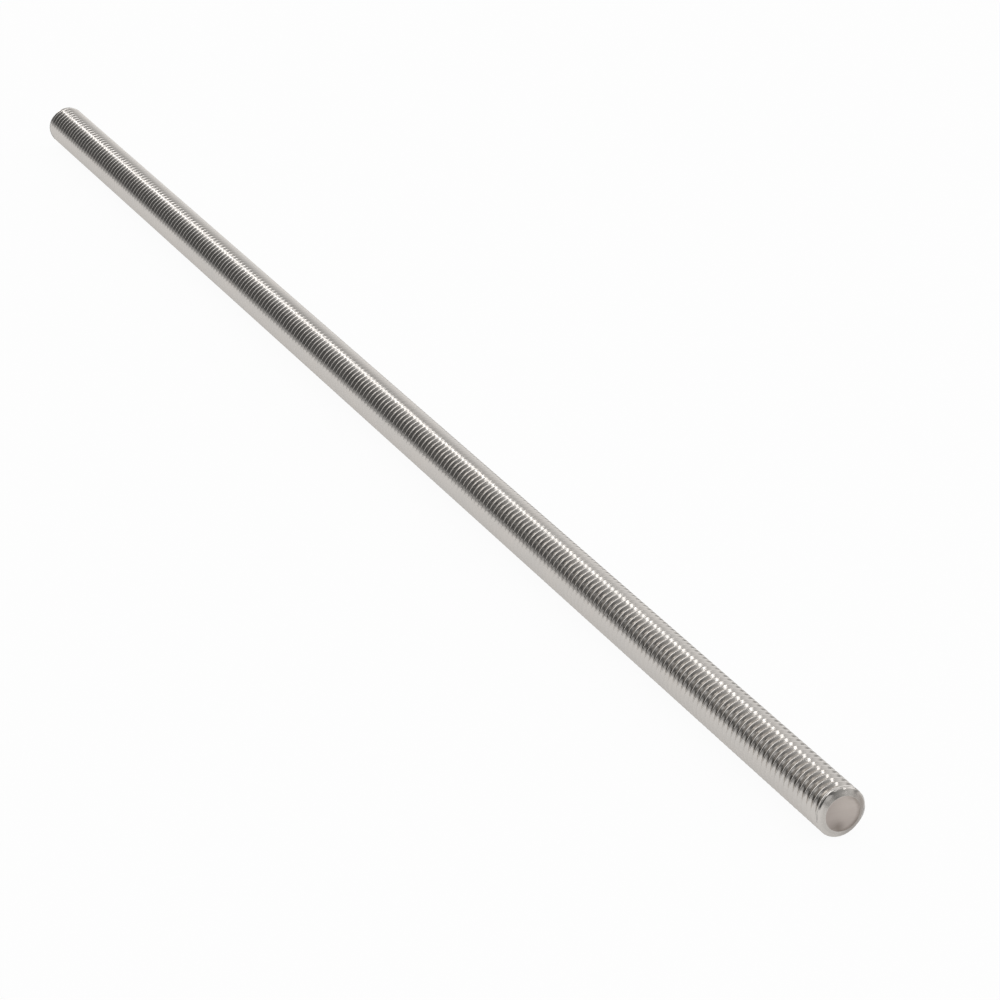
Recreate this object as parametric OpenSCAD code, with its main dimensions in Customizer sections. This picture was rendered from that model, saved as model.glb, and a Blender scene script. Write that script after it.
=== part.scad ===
// Fully threaded rod: one turned bar, threaded from end to end, with a chamfer at each end.
// Millimetres. The rod lies along X, and the origin is on its axis, midway between the ends.
// Each groove is a ring at the thread's true pitch, depth and flank angle, so crests,
// flanks and roots are true cylinders and cones.

/* [Rod] */
// Length from end face to end face
rod_length = 250; // [60:5:300]
// Outside diameter, over the crests of the thread
thread_d = 6; // [5:0.5:8]

/* [Thread] */
// Distance from one crest to the next
pitch = 1; // [0.75:0.05:1.5]
// Angle between the two flanks of a groove
flank_angle = 60; // [50:1:65]

/* [Ends] */
// Length of the chamfer, measured along the rod
chamfer_len = 0.45; // [0.2:0.05:0.8]
// Angle between the chamfer and the rod's axis
chamfer_angle = 62; // [45:1:68]

/* [Finish] */
// Sides of a round, as drawn on screen
smoothness = 64; // [48:8:96]

/* [Hidden] */

steel = [0.70, 0.69, 0.67];

// The metric thread form: a flat crest of an eighth of the pitch and a root of a sixth,
// which leaves 0.613 of the pitch as the depth of the thread at a flank angle of 60 degrees.
crest_w = pitch / 8;
root_w = pitch / 6;
mouth_w = pitch - crest_w;
thread_depth = (mouth_w - root_w) / 2 / tan(flank_angle / 2);

crest_r = thread_d / 2;
root_r = crest_r - thread_depth;
face_r = crest_r - chamfer_len * tan(chamfer_angle);

// As many whole grooves as fit between the chamfers, with half a crest left beside each.
groove_room = rod_length - 2 * chamfer_len - crest_w;
groove_count = floor(groove_room / pitch);

// Where a groove is centred along the rod, counted from the end at minus X
function groove_at(i) = (i - (groove_count - 1) / 2) * pitch;

// The four corners of one groove, as [radius, distance along the rod]
function groove(i) = [
    [crest_r, groove_at(i) - mouth_w / 2],
    [root_r, groove_at(i) - root_w / 2],
    [root_r, groove_at(i) + root_w / 2],
    [crest_r, groove_at(i) + mouth_w / 2],
];

// Half of the rod's lengthwise section: from the axis out to the surface, and back to the axis
module half_section() {
    half_len = rod_length / 2;
    crest_end = half_len - chamfer_len;
    near_end = [[0, -half_len], [face_r, -half_len], [crest_r, -crest_end]];
    far_end = [[crest_r, crest_end], [face_r, half_len], [0, half_len]];
    thread = [for (i = [0 : groove_count - 1]) each groove(i)];
    polygon(concat(near_end, thread, far_end));
}

module threaded_rod() {
    color(steel)
    rotate([0, 90, 0])
    rotate_extrude($fn = smoothness)
    half_section();
}

threaded_rod();
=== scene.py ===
"""The looks of a fully threaded stainless steel rod: its true helical thread, its chamfered
ends and its steel finish, lying on a pale studio floor."""

import math

import bpy
import numpy as np
from mathutils import Matrix, Vector

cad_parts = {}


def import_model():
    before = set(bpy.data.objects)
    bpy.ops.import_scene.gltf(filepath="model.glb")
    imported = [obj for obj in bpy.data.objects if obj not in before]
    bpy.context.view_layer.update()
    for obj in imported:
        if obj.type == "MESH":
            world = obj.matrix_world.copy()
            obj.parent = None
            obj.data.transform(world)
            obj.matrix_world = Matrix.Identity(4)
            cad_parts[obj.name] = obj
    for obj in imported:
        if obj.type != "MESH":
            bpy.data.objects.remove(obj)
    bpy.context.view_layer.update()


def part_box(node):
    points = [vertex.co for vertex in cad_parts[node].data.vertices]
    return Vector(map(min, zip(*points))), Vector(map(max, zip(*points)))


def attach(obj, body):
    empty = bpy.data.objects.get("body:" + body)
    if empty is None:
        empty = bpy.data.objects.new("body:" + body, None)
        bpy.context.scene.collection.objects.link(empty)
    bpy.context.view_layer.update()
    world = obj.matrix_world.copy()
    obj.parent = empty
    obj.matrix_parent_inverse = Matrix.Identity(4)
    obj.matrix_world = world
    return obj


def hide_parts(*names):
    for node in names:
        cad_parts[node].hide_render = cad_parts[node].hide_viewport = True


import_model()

# ---------------------------------------------------------------- sizes, in metres
MM = 0.001
NODE = "threaded_rod"

low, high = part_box(NODE)
HALF_LENGTH = (high[0] - low[0]) / 2
CREST_R = (high[2] - low[2]) / 2
FLOOR_Z = low[2]

# The metric thread form, with its corners rounded lightly
PITCH = 1.0 * MM
CREST_FLAT = PITCH / 8
ROOT_FLAT = PITCH / 6
FLANK_SLOPE = math.tan(math.radians(30))
THREAD_DEPTH = (PITCH - CREST_FLAT - ROOT_FLAT) / 2 / FLANK_SLOPE
CREST_ROUND = 0.05 * MM
ROOT_ROUND = 0.12 * MM

CHAMFER = 0.45 * MM
CHAMFER_ANGLE = math.radians(62)
CHAMFER_ROUND = 0.08 * MM
FACE_R = CREST_R - CHAMFER * math.tan(CHAMFER_ANGLE)
RIM_ROUND = 0.12 * MM

# The thread runs out over this stretch, measured from the end face
RUN_OUT = (0.50 * MM, 1.05 * MM)
# Where the crest of the thread passes the angle 0, as a part of a pitch
THREAD_START = 0.90

# Facets round the rod, and places across half of one thread, in pitches from its crest
SIDES = 36
HALF_THREAD = (0.034, 0.0625, 0.091, 0.347, 0.45)
# Rings of the rounded rim, in parts of its turn, and of the end face, in parts of its radius
RIM_STEPS = (1, 0.75, 0.5, 0.25, 0)
FACE_STEPS = (0.93, 0.8, 0.6, 0.35, 0.12)
# A thread point this near the end ring is put on it
END_GAP = 0.02 * MM
# A face turned this far towards the end of the rod is a sawn one
END_FACING = 0.999
# Half the distance over which a slope of the surface is measured
SLOPE_STEP = 1e-4 * MM

# ---------------------------------------------------------------- colours and marks
STEEL_WARM = (0.66, 0.62, 0.58, 1)
STEEL_COOL = (0.61, 0.59, 0.565, 1)
# Painted shade: the colour towards the bottom of the grooves
GROOVE_SHADE = (0.50, 0.475, 0.445, 1)
FACE_BRIGHT = (0.56, 0.505, 0.465, 1)
FACE_DULL = (0.45, 0.40, 0.37, 1)
# A dark tint: painted shade on the +Y side of each chamfer, and the darker rim and low patch of
# the end faces
DARK_TINT = (0.25, 0.215, 0.19, 1)

# The depth of the marks from rolling and from the saw
ROLLED_DEPTH = 0.0012 * MM
SAWN_DEPTH = 0.004 * MM

# ---------------------------------------------------------------- the studio
# Headings count from +X towards +Y, in degrees. A level of 1 looks white.
FLOOR_HALF = 8
PAPER = (0.9, 0.9, 0.9, 1)
# How white the floor is made for camera rays, and for reflections in the steel
FLOOR_SEEN = 0.95
FLOOR_MIRRORED = 0.60

BACKDROP = 0.98
HORIZON = 0.42
DARK_SIDE = 0.09
# What the tent adds to the dark side, from its hem to its middle
TENT = (0.31, 1.10)
ROOF = 0.41
# The soft edge of a card, as a tangent
CARD_SOFT = 0.05
# heading, elevation, half width, half height, level
CARDS = {
    "over the camera": (-60, 65, 17, 15, 1.23),
    "left of the camera": (-110, 55, 23, 26, 0.35),
    "low beyond the far end": (170, 14, 9, 16, 3.0),
    "low to the left of the far end": (213, 15, 30, 8, 0.7),
    "high beyond the far end": (192, 33, 27, 8, 1.4),
    "low beyond the near end": (-6, 13, 8, 7, 0.6),
}


# ---------------------------------------------------------------- the thread's form
def smooth_step(x, start, end):
    """0 before start, 1 after end, and a smooth rise between them."""
    t = np.clip((x - start) / (end - start), 0, 1)
    return t * t * (3 - 2 * t)


def smooth_min(a, b, blend):
    """The lower of a and b, with the corner where they cross rounded over."""
    t = np.clip(0.5 + 0.5 * (b - a) / blend, 0, 1)
    return b * (1 - t) + a * t - blend * t * (1 - t)


def groove_depth(phase):
    """How far the surface lies under the crests. phase counts pitches from a crest."""
    from_crest = np.abs(phase - np.round(phase)) * PITCH
    flank = (from_crest - CREST_FLAT / 2) / FLANK_SLOPE
    below_crest = -smooth_min(-flank, 0, CREST_ROUND)
    return smooth_min(below_crest, THREAD_DEPTH, ROOT_ROUND)


def surface_radius(x, phase):
    """The chamfered bar with its thread, which fades out towards each end."""
    from_end = HALF_LENGTH - np.abs(x)
    thread = CREST_R - groove_depth(phase) * smooth_step(from_end, *RUN_OUT)
    blank = FACE_R + from_end * math.tan(CHAMFER_ANGLE)
    return smooth_min(thread, blank, CHAMFER_ROUND)


def surface_normal(x, phase, angle):
    """The outward direction of the threaded surface, at this angle about the rod."""
    h = SLOPE_STEP
    r = surface_radius(x, phase)
    after = surface_radius(x + h, phase + h / PITCH)
    before = surface_radius(x - h, phase - h / PITCH)
    lengthwise = (after - before) / (2 * h)
    turn = h / r
    step = turn / (2 * math.pi)
    after = surface_radius(x, phase - step)
    before = surface_radius(x, phase + step)
    around = (after - before) / (2 * turn * r)
    c, s = np.cos(angle), np.sin(angle)
    normal = np.stack([-lengthwise, c + around * s, s - around * c], axis=-1)
    return normal / np.linalg.norm(normal, axis=-1, keepdims=True)


# ---------------------------------------------------------------- mesh
def rim_rings():
    """The rings from the end of the chamfer over the rounded rim and in to the middle of the
    end face, as (distance from the end face, radius, angle of the surface to the face)."""
    turned = math.pi / 2 - CHAMFER_ANGLE
    centre_r = FACE_R - RIM_ROUND * math.tan(turned / 2)
    rings = []
    for part in RIM_STEPS:
        a = turned * part
        rings.append((RIM_ROUND * (1 - math.cos(a)), centre_r + RIM_ROUND * math.sin(a), a))
    return rings + [(0, centre_r * part, 0) for part in FACE_STEPS]


def rod_mesh():
    """One closed mesh: a right-hand helical strip, and a rounded rim and a face at each end.
    It carries the exact directions of its surface, so that the flanks shade as flat."""
    rings = rim_rings()
    end_x = HALF_LENGTH - rings[0][0]
    steps = [-s for s in reversed(HALF_THREAD)] + list(HALF_THREAD)
    per_turn = len(steps)
    turns = math.ceil(HALF_LENGTH / PITCH) + 2
    rows = [k + s for k in range(-turns, turns + 1) for s in steps]
    angles = 2 * math.pi * np.arange(SIDES) / SIDES
    phases = np.array(rows)[:, None]
    lengthwise = (phases + THREAD_START + angles / (2 * math.pi)) * PITCH
    radii = surface_radius(lengthwise, phases)
    outward = surface_normal(lengthwise, phases, angles)

    points = []
    normals = []
    faces = []

    def add(x, r, i, normal):
        points.append((x, r * np.cos(angles[i]), r * np.sin(angles[i])))
        normals.append(normal)
        return len(points) - 1

    def add_ring(side, inset, r, tilt):
        """A ring of points near one end, where the surface tilts back from the end face."""
        out = math.sin(tilt)
        return [add(side * (HALF_LENGTH - inset), r, i,
                    (side * math.cos(tilt), out * np.cos(angles[i]), out * np.sin(angles[i])))
                for i in range(SIDES)]

    def face(*corners):
        """Adds a face whose corners run anticlockwise as seen from outside."""
        around = [c for n, c in enumerate(corners) if c != corners[n - 1]]
        if len(set(around)) > 2:
            faces.append(around)

    # The points of the thread. Those past the chamfer fall together on the end ring.
    end_ring = {side: add_ring(side, *rings[0]) for side in (-1, 1)}
    index = {}
    for j in range(len(rows)):
        for i in range(SIDES):
            x = lengthwise[j, i]
            if abs(x) >= end_x - END_GAP:
                index[j, i] = end_ring[1 if x > 0 else -1][i]
            else:
                index[j, i] = add(x, radii[j, i], i, outward[j, i])

    # The strip, which comes round to its own row one turn on
    for j in range(len(rows) - 1 - per_turn):
        for i in range(SIDES):
            k, m = (j, i + 1) if i + 1 < SIDES else (j + per_turn, 0)
            face(index[j, i], index[k, m], index[k + 1, m], index[j + 1, i])

    # The rims and the end faces
    for side in (-1, 1):
        ring = end_ring[side]
        for inset, r, tilt in rings[1:]:
            new = add_ring(side, inset, r, tilt)
            for i in range(SIDES):
                k = (i + 1) % SIDES
                quad = (ring[i], ring[k], new[k], new[i])
                face(*(quad if side > 0 else reversed(quad)))
            ring = new
        middle = len(points)
        points.append((side * HALF_LENGTH, 0, 0))
        normals.append((side, 0, 0))
        for i in range(SIDES):
            tri = (ring[i], ring[(i + 1) % SIDES], middle)
            face(*(tri if side > 0 else reversed(tri)))

    mesh = bpy.data.meshes.new("rod")
    mesh.from_pydata(points, [], faces)
    mesh.validate()
    mesh.polygons.foreach_set("use_smooth", [True] * len(mesh.polygons))
    for p in mesh.polygons:
        p.material_index = int(abs(p.normal.x) > END_FACING)
    mesh.normals_split_custom_set_from_vertices(normals)
    return mesh


# ---------------------------------------------------------------- materials
class Nodes:
    """Short ways to add and join the nodes of one tree."""

    def __init__(self, tree):
        self.tree = tree

    def add(self, kind, **settings):
        node = self.tree.nodes.new(kind)
        for name, value in settings.items():
            setattr(node, name, value)
        return node

    def join(self, source, target):
        """Joins a socket, or writes a plain value, to the target socket."""
        if isinstance(source, bpy.types.NodeSocket):
            self.tree.links.new(source, target)
        else:
            target.default_value = source

    def maths(self, operation, *values, clamp=False):
        node = self.add("ShaderNodeMath", operation=operation, use_clamp=clamp)
        for value, socket in zip(values, node.inputs):
            self.join(value, socket)
        return node.outputs[0]

    def plus(self, a, b, clamp=False):
        return self.maths("ADD", a, b, clamp=clamp)

    def times(self, a, b):
        return self.maths("MULTIPLY", a, b)

    def length(self, a, b):
        """The length of a step that goes a one way and b at right angles to it."""
        return self.maths("SQRT", self.plus(self.times(a, a), self.times(b, b)))

    def ramp(self, value, start, end, low=0.0, high=1.0):
        """low at start, high at end, and a smooth change between them."""
        node = self.add("ShaderNodeMapRange", interpolation_type="SMOOTHSTEP")
        for source, socket in zip((value, start, end, low, high), node.inputs):
            self.join(source, socket)
        return node.outputs[0]

    def mix(self, part, a, b):
        """A number between a (part 0) and b (part 1)."""
        node = self.add("ShaderNodeMix", data_type="FLOAT")
        for source, name in ((part, 0), (a, 2), (b, 3)):
            self.join(source, node.inputs[name])
        return node.outputs[0]

    def blend(self, part, a, b):
        """A colour between a (part 0) and b (part 1)."""
        node = self.add("ShaderNodeMix", data_type="RGBA")
        for source, name in ((part, 0), (a, 6), (b, 7)):
            self.join(source, node.inputs[name])
        return node.outputs[2]

    def noise(self, place, stretch, detail):
        """Noise from 0 to 1, with so many patches to a metre along each axis."""
        scaled = self.add("ShaderNodeVectorMath", operation="MULTIPLY")
        self.join(place, scaled.inputs[0])
        scaled.inputs[1].default_value = stretch
        node = self.add("ShaderNodeTexNoise")
        node.inputs["Scale"].default_value = 1
        node.inputs["Detail"].default_value = detail
        self.join(scaled.outputs[0], node.inputs["Vector"])
        return node.outputs["Fac"]

    def bump(self, height, depth):
        """A normal for marks of this height from 0 to 1, at most so deep, in metres."""
        node = self.add("ShaderNodeBump")
        node.inputs["Strength"].default_value = 1
        node.inputs["Distance"].default_value = depth
        self.join(height, node.inputs["Height"])
        return node.outputs["Normal"]


def steel(name):
    """A new metal, with its nodes, its shader's inputs, the place on the rod, and the x, y
    and z of that place."""
    m = bpy.data.materials.new(name)
    m.use_nodes = True
    n = Nodes(m.node_tree)
    shader = m.node_tree.nodes["Principled BSDF"].inputs
    shader["Metallic"].default_value = 1
    place = n.add("ShaderNodeTexCoord").outputs["Object"]
    parts = n.add("ShaderNodeSeparateXYZ")
    n.join(place, parts.inputs[0])
    return m, n, shader, place, parts.outputs


def rolled_steel():
    """Bright stainless thread: fine marks run round the rod, and the grooves are rougher, with
    their colour darkened towards the bottom as painted shade. Each chamfer is darkened on its +Y
    side, painted shade for the darker reflection there."""
    m, n, shader, place, (x, y, z) = steel("rolled_stainless")
    groove = n.ramp(n.length(y, z), CREST_R - 0.25 * MM, CREST_R - THREAD_DEPTH)
    marks = n.noise(place, (9000, 700, 700), 3)
    cloud = n.noise(place, (160, 420, 420), 4)
    colour = n.blend(cloud, STEEL_WARM, STEEL_COOL)
    # Painted shade: the colour darkens towards the bottom of the grooves
    colour = n.blend(n.times(groove, 0.4), colour, GROOVE_SHADE)
    # Painted shade: the +Y side of each chamfer is darkened, for the darker reflection of the
    # shadowed floor there
    chamfer = n.ramp(n.maths("ABSOLUTE", x), HALF_LENGTH - CHAMFER, HALF_LENGTH - 0.6 * CHAMFER)
    side = n.ramp(n.maths("SUBTRACT", y, n.times(z, 0.3)), 0, 0.7 * CREST_R, 0, 0.7)
    n.join(n.blend(n.times(chamfer, side), colour, DARK_TINT), shader["Base Color"])
    rough = n.plus(n.ramp(marks, 0.3, 0.7, 0.10, 0.18), n.times(groove, 0.12))
    n.join(rough, shader["Roughness"])
    n.join(n.bump(marks, ROLLED_DEPTH), shader["Normal"])
    return m


def sawn_steel():
    """The end faces: matt, with the faint straight marks of a saw. Their colour is darker along
    the rim on one side and in a patch low down."""
    m, n, shader, place, (x, y, z) = steel("sawn_stainless")
    marks = n.noise(place, (300, 500, 9000), 2)
    cloud = n.noise(place, (500, 600, 600), 3)

    def away(y0, z0):
        """The distance from a point of the face, both in parts of its radius."""
        return n.length(n.maths("SUBTRACT", n.maths("DIVIDE", y, FACE_R), y0),
                        n.maths("SUBTRACT", n.maths("DIVIDE", z, FACE_R), z0))

    # Darker along the rim on one side
    rim = n.times(n.ramp(away(0, 0), 0.72, 1.0), n.ramp(away(-0.7, 0.5), 0.7, 1.5))
    rim = n.times(rim, n.ramp(cloud, 0.3, 0.6, 0.35, 0.9))
    # A darker patch low on the face
    low_patch = n.ramp(away(-0.42, -0.8), 0.15, 0.7, 0.8, 0)
    low_patch = n.times(low_patch, n.ramp(cloud, 0.3, 0.6, 0.5, 1))
    colour = n.blend(n.ramp(away(0.5, 0.6), 0.2, 1.7), FACE_BRIGHT, FACE_DULL)
    colour = n.blend(n.maths("MAXIMUM", rim, low_patch), colour, DARK_TINT)
    n.join(colour, shader["Base Color"])
    n.join(n.ramp(marks, 0.3, 0.7, 0.38, 0.48), shader["Roughness"])
    n.join(n.bump(marks, SAWN_DEPTH), shader["Normal"])
    return m


rod = bpy.data.objects.new("rolled_thread_rod", rod_mesh())
bpy.context.collection.objects.link(rod)
rod.data.materials.append(rolled_steel())
rod.data.materials.append(sawn_steel())
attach(rod, "root")
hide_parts(NODE)


# ---------------------------------------------------------------- camera
def camera(azimuth, elevation, distance, aim, lens):
    """A camera that looks at aim. Azimuth 0 looks along +Y, and 90 along -X."""
    a, e = math.radians(azimuth), math.radians(elevation)
    back = Vector((math.sin(a) * math.cos(e), -math.cos(a) * math.cos(e), math.sin(e)))
    data = bpy.data.cameras.new("camera")
    data.lens = lens
    data.sensor_width = 36
    data.clip_start = 0.01
    data.clip_end = 20
    cam = bpy.data.objects.new("camera", data)
    cam.location = Vector(aim) + back * distance
    cam.rotation_mode = "QUATERNION"
    cam.rotation_quaternion = (-back).to_track_quat("-Z", "Y")
    bpy.context.collection.objects.link(cam)
    bpy.context.scene.camera = cam


camera(azimuth=64.8, elevation=24.55, distance=0.481, aim=(0.0363, 0.0012, 0), lens=137.2)


# ---------------------------------------------------------------- floor, lamp and world
def floor():
    """A white floor, which keeps the shadow of the rod."""
    mesh = bpy.data.meshes.new("floor")
    corners = [(-FLOOR_HALF, -FLOOR_HALF), (FLOOR_HALF, -FLOOR_HALF),
               (FLOOR_HALF, FLOOR_HALF), (-FLOOR_HALF, FLOOR_HALF)]
    mesh.from_pydata([(x, y, FLOOR_Z) for x, y in corners], [], [(0, 1, 2, 3)])
    obj = bpy.data.objects.new("floor", mesh)
    bpy.context.collection.objects.link(obj)
    m = bpy.data.materials.new("floor")
    m.use_nodes = True
    n = Nodes(m.node_tree)
    paper = m.node_tree.nodes["Principled BSDF"]
    paper.inputs["Base Color"].default_value = PAPER
    paper.inputs["Roughness"].default_value = 0.8
    paper.inputs["Specular IOR Level"].default_value = 0
    white = n.add("ShaderNodeEmission")
    white.inputs["Strength"].default_value = 1
    ray = n.add("ShaderNodeLightPath").outputs
    seen = n.plus(n.times(ray["Is Camera Ray"], FLOOR_SEEN),
                  n.times(ray["Is Glossy Ray"], FLOOR_MIRRORED))
    mix = n.add("ShaderNodeMixShader")
    n.join(n.plus(seen, ray["Is Transmission Ray"], clamp=True), mix.inputs[0])
    n.join(paper.outputs[0], mix.inputs[1])
    n.join(white.outputs[0], mix.inputs[2])
    n.join(mix.outputs[0], m.node_tree.nodes["Material Output"].inputs["Surface"])
    mesh.materials.append(m)


def facing(heading, elevation):
    """Unit vectors out along this heading and elevation, in degrees, to its left, and up."""
    h, e = math.radians(heading), math.radians(elevation)
    out = Vector((math.cos(e) * math.cos(h), math.cos(e) * math.sin(h), math.sin(e)))
    left = Vector((-math.sin(h), math.cos(h), 0))
    return out, left, out.cross(left)


def lamp(name, heading, elevation, lean, distance, size, radiance):
    """A soft lamp that faces the rod and looks as bright as a white card lit at this level.
    lean turns its second side from upright, in degrees."""
    data = bpy.data.lights.new(name, "AREA")
    data.shape = "RECTANGLE"
    data.size, data.size_y = size
    data.energy = radiance * math.pi * size[0] * size[1]
    obj = bpy.data.objects.new(name, data)
    out, left, up = facing(heading, elevation)
    turn = math.radians(lean)
    long_side = up * math.cos(turn) - left * math.sin(turn)
    axes = Matrix((long_side.cross(out), long_side, out)).transposed()
    obj.location = out * distance
    obj.rotation_mode = "QUATERNION"
    obj.rotation_quaternion = axes.to_quaternion()
    bpy.context.collection.objects.link(obj)


def world():
    """A pale tent over the far side of the rod, open and dark on the camera's side, with a few
    lit cards round it and a grey horizon. Seen straight on it is a plain white backdrop."""
    w = bpy.data.worlds.new("studio")
    bpy.context.scene.world = w
    w.use_nodes = True
    n = Nodes(w.node_tree)
    way = n.add("ShaderNodeTexCoord").outputs["Generated"]

    def along(direction):
        dot = n.add("ShaderNodeVectorMath", operation="DOT_PRODUCT")
        n.join(way, dot.inputs[0])
        dot.inputs[1].default_value = direction
        return dot.outputs["Value"]

    def card(heading, elevation, half_width, half_height, level):
        """A lit patch of the sky with soft edges. Its angles are in degrees."""
        out, left, up = facing(heading, elevation)
        ahead = n.maths("MAXIMUM", along(out), 0.01)
        part = level
        for direction, half in ((left, half_width), (up, half_height)):
            off = n.maths("ABSOLUTE", n.maths("DIVIDE", along(direction), ahead))
            edge = math.tan(math.radians(half))
            part = n.times(part, n.ramp(off, edge - CARD_SOFT, edge + CARD_SOFT, 1.0, 0.0))
        return part

    height = along((0, 0, 1))
    behind = n.ramp(along(facing(71, 0)[0]), -0.40, -0.35)
    over = along(facing(94, 22)[0])
    inside = n.times(behind, n.ramp(over, -0.09, 0.50))
    level = n.plus(n.times(inside, n.ramp(over, 0.50, 1.0, *TENT)), DARK_SIDE)
    level = n.plus(level, n.times(behind, n.ramp(height, 0.80, 0.95, 0, ROOF)))
    level = n.mix(n.ramp(height, 0.09, 0.17), HORIZON, level)
    for place in CARDS.values():
        level = n.plus(level, card(*place))
    ray = n.add("ShaderNodeLightPath").outputs
    straight = n.plus(ray["Is Camera Ray"], ray["Is Transmission Ray"], clamp=True)
    background = w.node_tree.nodes["Background"].inputs
    n.join(n.mix(straight, level, BACKDROP), background["Strength"])
    background["Color"].default_value = (1, 1, 1, 1)


floor()
lamp("strip", heading=20.5, elevation=35, lean=45, distance=1.4, size=(0.08, 1.05), radiance=2.3)
world()
bpy.context.scene.view_settings.view_transform = "Standard"
